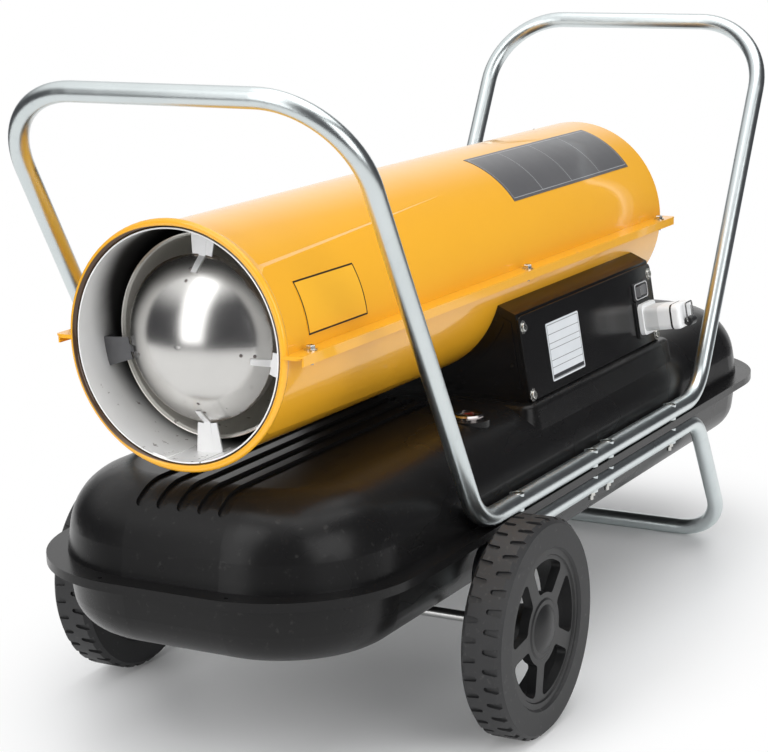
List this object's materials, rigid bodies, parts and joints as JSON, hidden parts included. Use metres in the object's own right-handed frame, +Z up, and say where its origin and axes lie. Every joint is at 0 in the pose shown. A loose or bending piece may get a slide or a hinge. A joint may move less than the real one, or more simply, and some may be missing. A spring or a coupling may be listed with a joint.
{
  "type": "forced air heater",
  "caption": "Wheeled oil-fired forced air heater: horizontal barrel with domed outlet over an electrical pedestal and a long fuel tank, in a tube frame with two loop handles.",
  "frame": {"origin": "on the ground under the middle of the tank, at the centre of the footprint", "axes": "+Z up, -Y towards the hot-air outlet and the wheels, +X towards the switch and plug"},
  "size_m": [0.4762, 1.072, 0.595],
  "materials": {
    "yellow_paint": "gloss",
    "black_paint": "satin",
    "black_panel": "satin",
    "zinc_tube": "satin",
    "zinc_hardware": "satin",
    "stainless": "polished",
    "steel_sheet": "satin",
    "tyre_rubber": "matte",
    "wheel_plastic": "matte",
    "black_plastic": "satin",
    "white_plastic": "satin",
    "red_plastic": "gloss",
    "float_plastic": "matte",
    "chrome": "polished",
    "seal_rubber": "matte",
    "hose_rubber": "matte",
    "brass": "satin",
    "ceramic": "gloss",
    "cast_alloy": "matte",
    "fan_alloy": "satin",
    "motor_paint": "satin",
    "filter_foam": "matte",
    "board_green": "satin",
    "yellow_label": "satin",
    "grey_label": "satin",
    "silver_label": "satin"
  },
  "bodies": {
    "heater": {"tank_upper": "black_paint", "tank_lower": "black_paint", "filler_neck": "zinc_hardware", "filler_strainer": "zinc_hardware", "gauge_bezel": "chrome", "gauge_body": "black_plastic", "drain_plug": "zinc_hardware", "fuel_pickup": "brass", "front_handle": "zinc_tube", "rear_handle": "zinc_tube", "support_frame": "zinc_tube", "frame_bolts": "zinc_hardware", "frame_nuts": "zinc_hardware", "axle": "zinc_hardware", "axle_spacers": "black_plastic", "axle_clips": "zinc_hardware", "upper_shell": "yellow_paint", "lower_shell": "yellow_paint", "shell_screws": "zinc_hardware", "outlet_liner": "stainless", "combustion_chamber": "stainless", "chamber_back_plate": "steel_sheet", "dome_baffle": "stainless", "baffle_brackets": "stainless", "burner_head": "steel_sheet", "nozzle": "brass", "ignition_electrodes": "ceramic", "fuel_hose": "hose_rubber", "motor_body": "motor_paint", "motor_mount": "steel_sheet", "air_pump": "cast_alloy", "air_filter": "filter_foam", "inlet_guard": "zinc_hardware", "guard_screws": "zinc_hardware", "control_pedestal": "black_panel", "control_cover": "black_panel", "cover_screws": "zinc_hardware", "switch_frame": "black_plastic", "connector_base": "black_plastic", "control_board": "board_green", "ignition_transformer": "black_plastic", "side_label_plate": "yellow_label", "top_label_plate": "grey_label", "rating_plate": "silver_label"},
    "left_wheel_set": {"left_wheel": "wheel_plastic", "left_tyre": "tyre_rubber", "left_hub_cap": "black_plastic"},
    "right_wheel_set": {"right_wheel": "wheel_plastic", "right_tyre": "tyre_rubber", "right_hub_cap": "black_plastic"},
    "fan_set": {"fan": "fan_alloy", "motor_shaft": "zinc_hardware"},
    "rocker": {"switch_rocker": "red_plastic"},
    "cap_seat": {"cap_seal": "seal_rubber"},
    "cap": {"fuel_cap": "black_plastic"},
    "float": {"gauge_float": "float_plastic"},
    "needle": {"gauge_needle": "red_plastic"},
    "plug": {"connector_hood": "white_plastic", "connector_knob": "black_plastic"},
    "bail": {"connector_bail": "zinc_hardware"}
  },
  "joints": [
    {"name": "left_wheel_spin", "type": "hinge", "parent": "heater", "child": "left_wheel_set", "pos_m": [-0.2159, -0.27335, 0.1], "axis": [1, 0, 0], "continuous": true},
    {"name": "right_wheel_spin", "type": "hinge", "parent": "heater", "child": "right_wheel_set", "pos_m": [0.2159, -0.27335, 0.1], "axis": [1, 0, 0], "continuous": true},
    {"name": "fan_spin", "type": "hinge", "parent": "heater", "child": "fan_set", "pos_m": [0, -0.036, 0.379], "axis": [0, 1, 0], "continuous": true},
    {"name": "switch_rock", "type": "hinge", "parent": "heater", "child": "rocker", "pos_m": [0.12251, 0.209, 0.31522], "axis": [-0.1578, 0, 0.9875], "range_deg": [-18, 0]},
    {"name": "cap_lift", "type": "slide", "parent": "heater", "child": "cap_seat", "axis": [0, 0, 1], "range_m": [0, 0.02]},
    {"name": "cap_turn", "type": "hinge", "parent": "cap_seat", "child": "cap", "pos_m": [-0.1, -0.17, 0.27], "axis": [0, 0, 1], "range_deg": [0, 120]},
    {"name": "float_swing", "type": "hinge", "parent": "heater", "child": "float", "pos_m": [0.104, -0.166, 0.185], "axis": [1, 0, 0], "range_deg": [0, 58]},
    {"name": "needle_turn", "type": "hinge", "parent": "heater", "child": "needle", "pos_m": [0.104, -0.166, 0.258], "axis": [0, 0, 1], "range_deg": [0, 210]},
    {"name": "plug_pull", "type": "slide", "parent": "heater", "child": "plug", "axis": [0.9875, 0, 0.1578], "range_m": [0, 0.04]},
    {"name": "bail_swing", "type": "hinge", "parent": "plug", "child": "bail", "pos_m": [0.18365, 0.21, 0.28751], "axis": [0, 1, 0], "range_deg": [0, 80]}
  ],
  "couplings": [
    {"joint": "needle_turn", "follows": "float_swing", "ratio": 3.5}
  ]
}
